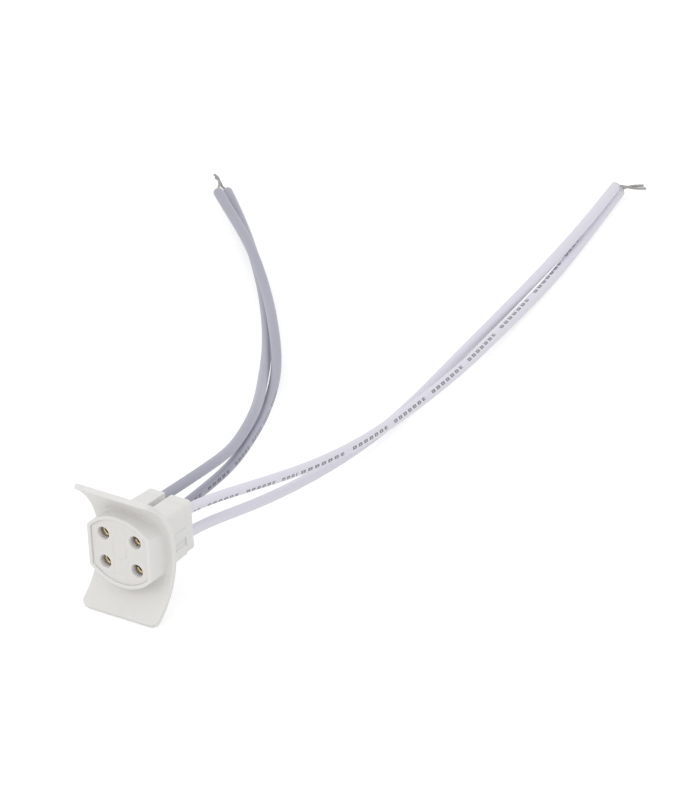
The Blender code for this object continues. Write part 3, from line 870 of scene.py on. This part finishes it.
# Contacts: rolled brass sleeves with a waist that grips the pin, open along one side
contactValues = {
    "sides": 56,
    "wall": 0.0002,
    "lipSteps": 6,
    "slitWidth": 0.0005,
    "slitEnd": 0.0080,
    "seam": 0.00002,
    "barrelWall": 0.000245,
    "barrelRings": 4,
    "sharpAngle": 50,
    # radius and place of each ring inside, from the mouth to the end of the barrel
    "inside": [
        (0.00130, 0.00135), (0.00127, 0.00139), (0.00120, 0.00144), (0.00108, 0.00152),
        (0.00104, 0.00160), (0.00103, 0.0018), (0.00108, 0.0023), (0.00116, 0.0030),
        (0.0012, 0.0037), (0.0012, 0.0068), (0.00117, 0.0071), (0.00105, 0.0074),
        (0.00062, 0.0079), (0.00043, 0.0081), (0.000375, 0.0084), (0.000375, 0.0108)],
}


def makeContact(name, side, height, values):
    # a sheet rolled round the pin's axis: each ring of points runs from one lip of the slit to the other
    inside = values["inside"]
    count = len(inside)
    barrel = count - values["barrelRings"]
    outside = [
        (radius + values["wall" if step < barrel else "barrelWall"], along)
        for step, (radius, along) in enumerate(inside)]
    loop = outside[::-1]
    lip = values["wall"] / 2
    middle, along = inside[0][0] + lip, inside[0][1]
    for step in range(1, values["lipSteps"]):
        turn = math.pi * step / values["lipSteps"]
        loop.append((middle + lip * math.cos(turn), along - lip * math.sin(turn)))
    loop += inside
    centre = (side * holeValues["across"], height * holeValues["up"])
    work = bmesh.new()
    rings = []
    for step in range(values["sides"] + 1):
        ring = []
        for radius, along in loop:
            gap = values["slitWidth"] if along < values["slitEnd"] else values["seam"]
            half = math.asin(gap / 2 / radius)
            turn = half + (math.tau - 2 * half) * step / values["sides"]
            ring.append(work.verts.new((
                centre[0] - side * radius * math.cos(turn), along, centre[1] + radius * math.sin(turn))))
        rings.append(ring)
    for first, second in zip(rings, rings[1:]):
        for i in range(len(loop)):
            j = (i + 1) % len(loop)
            work.faces.new((first[i], first[j], second[j], second[i]))
    for ring in (rings[0], rings[-1]):
        outer, tip, inner = ring[:count][::-1], ring[count:-count], ring[-count:]
        for i in range(count - 1):
            work.faces.new((outer[i], outer[i + 1], inner[i + 1], inner[i]))
        work.faces.new((outer[0], *tip, inner[0]))
    bmesh.ops.recalc_face_normals(work, faces=work.faces)
    mesh = bpy.data.meshes.new(name)
    work.to_mesh(mesh)
    work.free()
    mesh.shade_smooth()
    mesh.set_sharp_from_angle(angle=math.radians(values["sharpAngle"]))
    mesh.materials.append(brass)
    return addPiece(name, mesh)


for lead, (side, height) in poles.items():
    number = lead[-1]
    contact = makeContact("rolled_sleeve_" + number, side, height, contactValues)
    handOver(contact, "contact_" + number)
    conductor = cadNodes["conductor_" + number].data  # a CAD node that stays gets its finish
    conductor.materials.clear()
    conductor.materials.append(tin)
print("contacts made")

# Floor and light: white all round, a soft key from above and in front
stageValues = {
    "floorSize": 8,
    "floorColour": (0.88, 0.88, 0.88),
    "cameraShare": 0.5,
    "cameraGlow": 0.62,
    "worldStrength": 0.965,
    "keyPower": 1.35,
    "keySize": 0.7,
    "keyPlace": (-0.12, -1.05, 0.80),
}


def seenRays(tree):
    # 1 where the stage is seen, straight or in a shiny surface, and 0 where it only lights the object
    direct = tree.node("ShaderNodeLightPath", output="Is Camera Ray")
    mirrored = tree.node("ShaderNodeLightPath", output="Is Glossy Ray")
    through = tree.node("ShaderNodeLightPath", output="Is Transmission Ray")
    return direct.maths("MAXIMUM", mirrored).maths("MAXIMUM", through)


def whiteFloor(tree, values):
    # white to the camera and in reflections, and it keeps the object's shadow
    seen = seenRays(tree)
    plain = tree.node("ShaderNodeBsdfDiffuse", {"Color": rgba(values["floorColour"])})
    share = values["cameraShare"]
    shadowed = tree.node("ShaderNodeBsdfDiffuse", {"Color": (share, share, share, 1)})
    glow = tree.node("ShaderNodeEmission", {"Strength": values["cameraGlow"]})
    bright = tree.node("ShaderNodeAddShader", {0: shadowed, 1: glow})
    return tree.node("ShaderNodeMixShader", {0: seen, 1: plain, 2: bright})


def makeFloor(values):
    half = values["floorSize"] / 2
    level = cadLow.z
    mesh = bpy.data.meshes.new("floor")
    corners = [(-half, -half, level), (half, -half, level), (half, half, level), (-half, half, level)]
    mesh.from_pydata(corners, [], [(0, 1, 2, 3)])
    mesh.materials.append(newMaterial("floor", whiteFloor, values))
    addPiece("floor", mesh)


def makeLight(values):
    world = bpy.data.worlds.new("studio")
    world.use_nodes = True
    world.node_tree.nodes.clear()
    tree = Tree(world.node_tree)
    strength = values["worldStrength"] + seenRays(tree) * (1 - values["worldStrength"])
    sky = tree.node("ShaderNodeBackground", {"Color": (1, 1, 1, 1), "Strength": strength})
    tree.node("ShaderNodeOutputWorld", {"Surface": sky})
    scene.world = world
    data = bpy.data.lights.new("key", "AREA")
    data.energy = values["keyPower"]
    data.size = values["keySize"]
    key = addPiece("key", data)
    place = Vector(values["keyPlace"])
    key.matrix_world = Matrix.Translation(place) @ place.to_track_quat("Z", "Y").to_matrix().to_4x4()


makeFloor(stageValues)
makeLight(stageValues)
scene.view_settings.view_transform = "Standard"
print("stage set")
